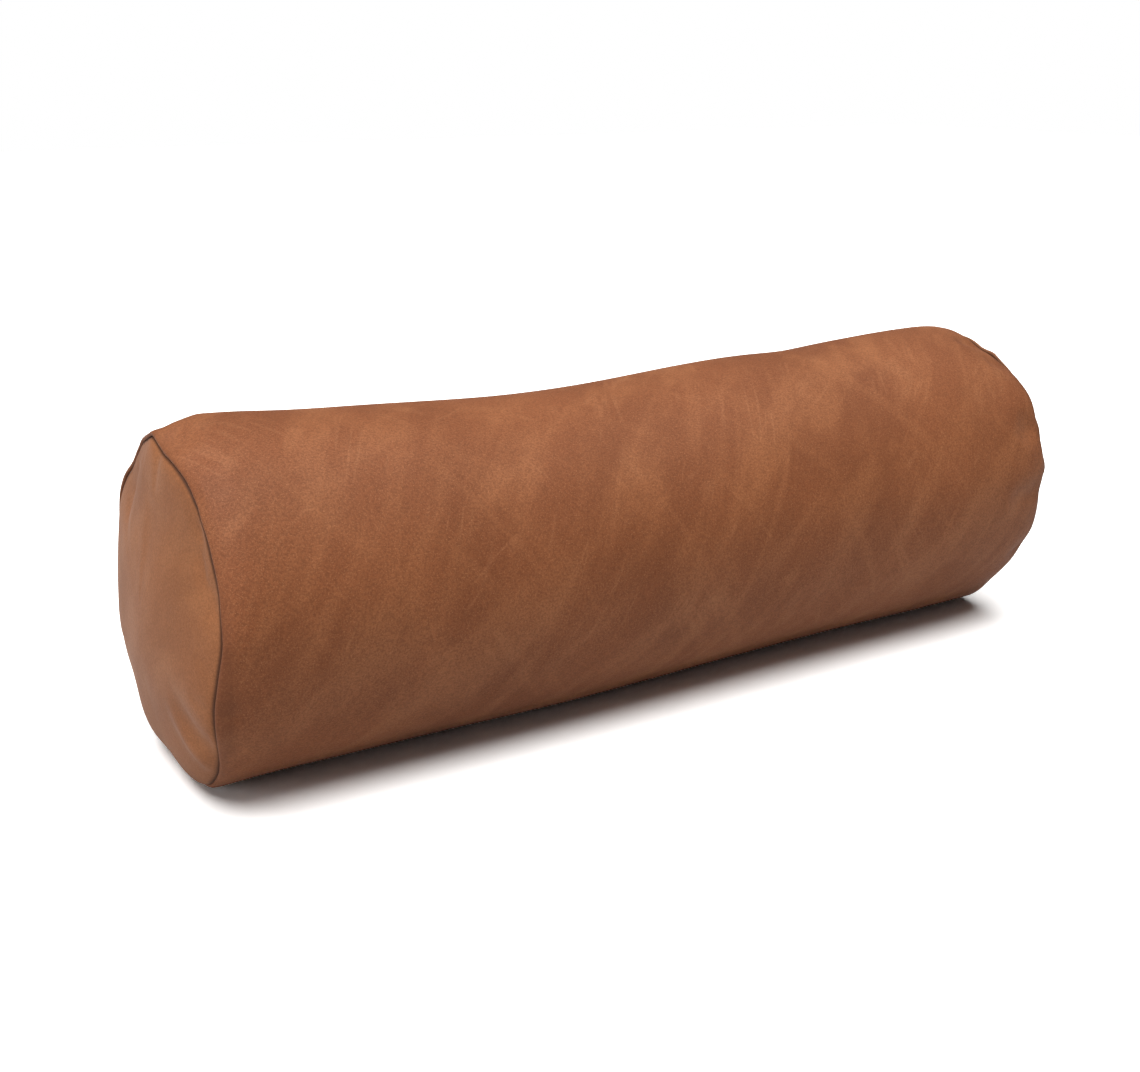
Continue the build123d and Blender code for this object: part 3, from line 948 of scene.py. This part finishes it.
def leather(name, turn=(0, 0, 0), shift=(0, 0, 0), gold=0.0):
    """Matte pull-up leather: soft slanting streaks, thin pale veins and a fine nap."""
    n = Nodes(name)
    n.place = n.mapped(turn, (1, 1, 1), shift)
    n.long_way = gold == 0
    dark, brown, tan, pale = LEATHER_DARK, LEATHER_BROWN, LEATHER_TAN, LEATHER_PALE
    clouds = n.noise(9.0, 2.0, 0.5, 0.2)
    patches = n.noise(24.0, 3.0, 0.55, 0.4, n.twisted(40, 1.5, 5))
    streaks = n.noise(31.0, 1.5, 0.45, 0.9, n.twisted(60, 2.1, 3))
    crossing = n.noise(28.0, 1.5, 0.45, 0.9, n.twisted(-55, 2.0, 6))
    color = n.mix(n.span(clouds, 0.30, 0.70, 0.20, 0.80), dark, brown)
    color = n.mix(n.span(patches, 0.42, 0.70, 0.0, 0.46), color, tan)
    color = n.mix(n.span(streaks, 0.48, 0.78, 0.0, 0.30), color, tan)
    color = n.mix(n.span(crossing, 0.50, 0.80, 0.0, 0.26), color, tan)
    steep = vein(n, 64, 2.8, 32.0, 0.040, 1.0)
    back = vein(n, -58, 2.6, 29.0, 0.038, 4.0)
    shallow = vein(n, 40, 2.4, 35.0, 0.036, 7.0)
    lines = n.math("MAXIMUM", steep, n.math("MAXIMUM", back, shallow))
    color = n.mix(n.math("MULTIPLY", lines, 0.08 if gold else 0.15), color, pale)
    nap = n.noise(760.0, 3.0, 0.72)
    speck = n.noise(1700.0, 1.0, 0.6)
    color = n.mix(n.span(nap, 0.36, 0.62, 0.40, 0.0), color, tuple(c * 0.45 for c in dark))
    color = n.mix(n.span(speck, 0.55, 0.72, 0.0, 0.30), color, pale)
    if gold:
        color = n.mix(gold, color, LEATHER_GOLD)
    # Painted shade: darker leather mixed in along the seam grooves and turned edges, strongest on the end
    # panels; on the body partly edge wear too.
    shade_and_wear_share, shade_and_wear_tone = (0.88, 0.24) if gold else (0.40, 0.60)
    shaded_and_worn = n.math("MULTIPLY", n.value("seam_shade_and_wear"), shade_and_wear_share)
    color = n.mix(shaded_and_worn, color, tuple(c * shade_and_wear_tone for c in dark))
    bump = n.bump(n.cells(560.0), 0.12 * MM, 0.30)
    bump = n.bump(nap, 0.28 * MM, 0.35 if gold else 0.60, bump)
    bump = n.bump(n.noise(95.0, 3.0, 0.6), 0.5 * MM, 0.12 if gold else 0.20, bump)
    matte = n.math("ADD", n.math("MULTIPLY", patches, 0.6), n.math("MULTIPLY", nap, 0.4))
    rough = n.span(matte, 0.3, 0.7, 0.72, 0.60)
    return n.done(color, rough, bump, Sheen_Weight=0.08, Sheen_Roughness=0.40,
                  Sheen_Tint=(1.0, 0.78, 0.68, 1.0), Specular_IOR_Level=0.22)


def cloth(name, color, shade, threads, depth):
    """Plain-weave cloth: threads over and under each other, with a few thick ones."""
    n = Nodes(name)
    yarns = []
    for way in "XZ":
        wave = n.node("TexWave", Scale=threads, Distortion=0.5, Detail_Scale=30, Vector=n.place)
        wave.bands_direction = way
        yarns.append(wave.outputs["Fac"])
    weave = n.math("MULTIPLY", *yarns)
    slub = n.noise(60.0, 3.0, 0.6, 0.3, n.mapped(scale=(1, 6, 6)))
    base = n.mix(n.span(slub, 0.35, 0.70), shade, color)
    base = n.mix(n.math("MULTIPLY", weave, 0.35), base, tuple(min(1, c * 1.15) for c in color))
    bump = n.bump(weave, depth, 0.6)
    bump = n.bump(n.noise(240.0, 3.0, 0.6), depth, 0.3, bump)
    rough = n.span(slub, 0.3, 0.7, 0.92, 0.78)
    return n.done(base, rough, bump, Sheen_Weight=0.2, Sheen_Roughness=0.5)


def fibre():
    """White hollow fibre: fine tangled strands."""
    n = Nodes("fibre")
    strands = n.noise(110.0, 6.0, 0.75, 3.0)
    tufts = n.noise(28.0, 3.0, 0.6, 1.0)
    base = n.mix(n.span(strands, 0.3, 0.7), (0.66, 0.65, 0.62), (0.88, 0.88, 0.87))
    bump = n.bump(tufts, 2.0 * MM, 0.5)
    bump = n.bump(strands, 0.8 * MM, 0.8, bump)
    return n.done(base, n.span(tufts, 0.3, 0.7, 0.95, 0.85), bump, Sheen_Weight=0.4, Sheen_Roughness=0.6)


def thread(name, color):
    """Bonded thread: a little fuzz, and paler patches of dye."""
    n = Nodes(name)
    fuzz = n.noise(2600.0, 3.0, 0.6)
    dye = n.noise(140.0, 2.0, 0.5)
    base = n.mix(n.span(fuzz, 0.3, 0.7), tuple(c * 0.62 for c in color), color)
    base = n.mix(n.span(dye, 0.4, 0.7, 0.0, 0.3), base, tuple(min(1, c * 1.35) for c in color))
    bump = n.bump(fuzz, 0.05 * MM, 0.6)
    return n.done(base, n.span(fuzz, 0.3, 0.7, 0.62, 0.48), bump, Sheen_Weight=0.15)


def tape():
    """Herringbone tape of polyester yarn."""
    n = Nodes("zip_tape")
    rib = n.node("TexWave", Scale=330, Distortion=1.2, Vector=n.place)
    rib.bands_direction = "DIAGONAL"
    cross = n.noise(900.0, 2.0, 0.5, 0.0, n.mapped(scale=(3, 1, 1)))
    yarn = n.math("MULTIPLY", rib.outputs["Fac"], n.span(cross, 0.3, 0.7, 0.6, 1.0))
    base = n.mix(yarn, (0.020, 0.010, 0.006), (0.060, 0.031, 0.019))
    dust = n.noise(45.0, 3.0, 0.6)
    base = n.mix(n.span(dust, 0.55, 0.8, 0.0, 0.25), base, (0.11, 0.07, 0.05))
    return n.done(base, n.span(cross, 0.3, 0.7, 0.85, 0.70), n.bump(yarn, 0.08 * MM, 0.7), Sheen_Weight=0.2)


def coil():
    """Drawn monofilament, with a satin gleam and fine lines along it."""
    n = Nodes("zip_coil")
    lines = n.noise(1400.0, 2.0, 0.5)
    base = n.mix(n.span(lines, 0.3, 0.7), (0.022, 0.012, 0.008), (0.050, 0.026, 0.017))
    return n.done(base, n.span(lines, 0.3, 0.7, 0.42, 0.30), n.bump(lines, 0.02 * MM, 0.4))


def brass():
    """Antique brass: tumbled plating, dark in the hollows and brighter where it is handled."""
    n = Nodes("zip_brass")
    tarnish = n.noise(160.0, 4.0, 0.6, 0.4)
    grit = n.noise(1800.0, 2.0, 0.6)
    scratch = n.noise(500.0, 2.0, 0.5, 0.2, n.mapped((0, 12, 5), (0.12, 1, 1)))
    corner = n.node("NewGeometry").outputs["Pointiness"]
    base = n.mix(n.span(tarnish, 0.35, 0.65), (0.13, 0.080, 0.035), (0.36, 0.235, 0.105))
    base = n.mix(n.span(corner, 0.50, 0.60), base, (0.62, 0.45, 0.22))
    rough = n.math("ADD", n.span(tarnish, 0.3, 0.7, 0.46, 0.27), n.span(scratch, 0.5, 0.7, 0.0, 0.14))
    bump = n.bump(n.math("ADD", grit, n.math("MULTIPLY", scratch, 0.7)), 0.025 * MM, 0.5)
    return n.done(base, rough, bump, Metallic=1.0)


def floor_material():
    """Pale seamless paper. It throws back less light than it shows, so that the underside stays dark."""
    n = Nodes("floor")
    shown, thrown = (n.node("BsdfDiffuse", Color=(w, w, w, 1)) for w in (FLOOR_SHOWN, FLOOR_THROWN))
    mix = n.node("MixShader")
    n.link(n.node("LightPath").outputs["Is Camera Ray"], mix.inputs[0])
    n.link(thrown.outputs[0], mix.inputs[1])
    n.link(shown.outputs[0], mix.inputs[2])
    n.link(mix.outputs[0], n.out.inputs["Surface"])
    return n.material


# ---- the pieces

def build_cover():
    body = leather("leather_body")
    finish_piece(leather_body(), body, "leather", "cover_body_panel", fill=0.75)
    depth = FLANGE_DEPTH + LEATHER / 2
    cuts = ((-1, "left", (30, 15, 70), (2, 5, 1)), (1, "right", (70, 40, 20), (7, 3, 4)))
    for side, word, turn, shift in cuts:
        hide = leather("leather_end_" + word, turn, shift, END_GOLD)
        panel = end_panel("leather_end_" + word, side, depth, LEATHER, HALF - GROOVE, DOME_TOP, HEM)
        finish_piece(panel, hide, "leather", "cover_end_panel_" + word, fill=0.75)


def build_inside():
    cotton = cloth("liner_cotton", (0.72, 0.68, 0.58), (0.55, 0.50, 0.41), 260.0, 0.10 * MM)
    finish_piece(liner_body(), cotton, "liner_cotton", "liner_body", fill=0.75)
    base = LINER_HALF - RIM_DEPTH / 2
    depth = LINER_DEPTH + 2 * (COTTON + PLY_GAP) + COTTON / 2
    for side, word in ((-1, "left"), (1, "right")):
        panel = end_panel("liner_end_" + word, side, depth, COTTON, base, LINER_TOP, LINER_HEM, (24, 120))
        finish_piece(panel, cotton, "liner_cotton", "liner_end_panel_" + word, fill=0.75)
    finish_piece(fill_body(), fibre(), "fibre", "fibre_fill", fill=0.75)


def build_threads():
    seam = thread("seam_thread", (0.090, 0.038, 0.018))
    top = thread("topstitch_thread", (0.300, 0.125, 0.050))
    white = thread("liner_thread", (0.78, 0.75, 0.68))
    for side, word in ((-1, "upper"), (1, "lower")):
        row = topstitch_row("zip_topstitch_row_" + word, side)
        finish_piece(row, top, "topstitch_thread", "zip_topstitch_" + word)
    for side, word in ((-1, "left"), (1, "right")):
        tack = end_tack("zip_tack_" + word, side)
        finish_piece(tack, top, "topstitch_thread", "zip_end_tack_" + word)
        inside = FLANGE_DEPTH + LEATHER + SEAM_THREAD / 2 + PLY_GAP
        circle = seam_ring("end_seam_stitches_" + word, side, inside, HALF - RIM_DEPTH - 3 * MM)
        finish_piece(circle, seam, "seam_thread", "end_seam_thread_" + word)
        inside = LINER_DEPTH + 2 * PLY_GAP + 3 * COTTON + SEAM_THREAD / 2 + PLY_GAP
        circle = seam_ring("liner_end_stitches_" + word, side, inside, LINER_HALF - 4 * MM)
        finish_piece(circle, white, "liner_thread", "liner_end_thread_" + word)
        run = long_seam("long_seam_stitches_" + word, side)
        finish_piece(run, seam, "seam_thread", "long_seam_thread_" + word)
    finish_piece(liner_closing(), white, "liner_thread", "liner_closing_thread")


def build_zip():
    woven, filament, metal = tape(), coil(), brass()
    for side, word in ((-1, "upper"), (1, "lower")):
        finish_piece(zip_tape("woven_tape_" + word, side), woven, "zip_tape", "zip_tape_" + word)
        finish_piece(zip_coil("coil_filament_" + word, side), filament, "zip_coil", "zip_coil_" + word)
    for node in ("zip_slider", "zip_pull_tab", "zip_top_stops", "zip_bottom_stop"):
        frame["nodes"][node].data.materials.clear()
        frame["nodes"][node].data.materials.append(metal)


# ---- stage, light and camera

def stage():
    size = 6.0
    mesh = bpy.data.meshes.new("floor")
    corners = [(-size, -size, 0), (size, -size, 0), (size, size, 0), (-size, size, 0)]
    mesh.from_pydata(corners, [], [(0, 1, 2, 3)])
    floor = new_object("floor", mesh)
    floor.location.z = -0.2 * MM
    mesh.materials.append(floor_material())


def world():
    """A white studio: the camera sees it white, and the object is lit by less of it."""
    room = bpy.data.worlds.new("studio")
    room.use_nodes = True
    tree = room.node_tree
    seen, lit = tree.nodes["Background"], tree.nodes.new("ShaderNodeBackground")
    for background, strength in ((seen, 1.0), (lit, ROOM_LIGHT)):
        background.inputs["Color"].default_value = (1, 1, 1, 1)
        background.inputs["Strength"].default_value = strength
    mix = tree.nodes.new("ShaderNodeMixShader")
    tree.links.new(tree.nodes.new("ShaderNodeLightPath").outputs["Is Camera Ray"], mix.inputs[0])
    tree.links.new(lit.outputs[0], mix.inputs[1])
    tree.links.new(seen.outputs[0], mix.inputs[2])
    tree.links.new(mix.outputs[0], tree.nodes["World Output"].inputs["Surface"])
    bpy.context.scene.world = room


def sun(name, come_from, strength, spread, color=(1, 1, 1)):
    """A far, wide light, as even over the floor as a bank of soft boxes."""
    light = bpy.data.lights.new(name, "SUN")
    light.energy = strength
    light.angle = math.radians(spread)
    light.color = color
    thing = new_object(name, light)
    thing.rotation_euler = Vector(come_from).to_track_quat("Z", "Y").to_euler()


def lights():
    world()
    sun("overhead", (-0.14, -0.10, 1.0), 5.3, 60.0, (1.0, 0.995, 0.985))
    sun("side_fill", (-1.0, -0.10, 0.16), 1.33, 44.0)


def camera():
    """Stands in front of the near end, a little above the bolster, and looks along it."""
    lens = bpy.data.cameras.new("camera")
    lens.sensor_width = 36.0
    lens.lens = 46.5
    eye = new_object("camera", lens)
    eye.location = (-0.499, -0.758, 0.383)
    yaw, pitch = 0.5505, 0.3140
    eye.rotation_euler = (math.pi / 2 - pitch, 0, -yaw)
    bpy.context.scene.camera = eye
    bpy.context.scene.view_settings.view_transform = "Standard"


SIM_MOVE = simulate_skin()
build_cover()
build_inside()
build_threads()
build_zip()
stage()
lights()
camera()
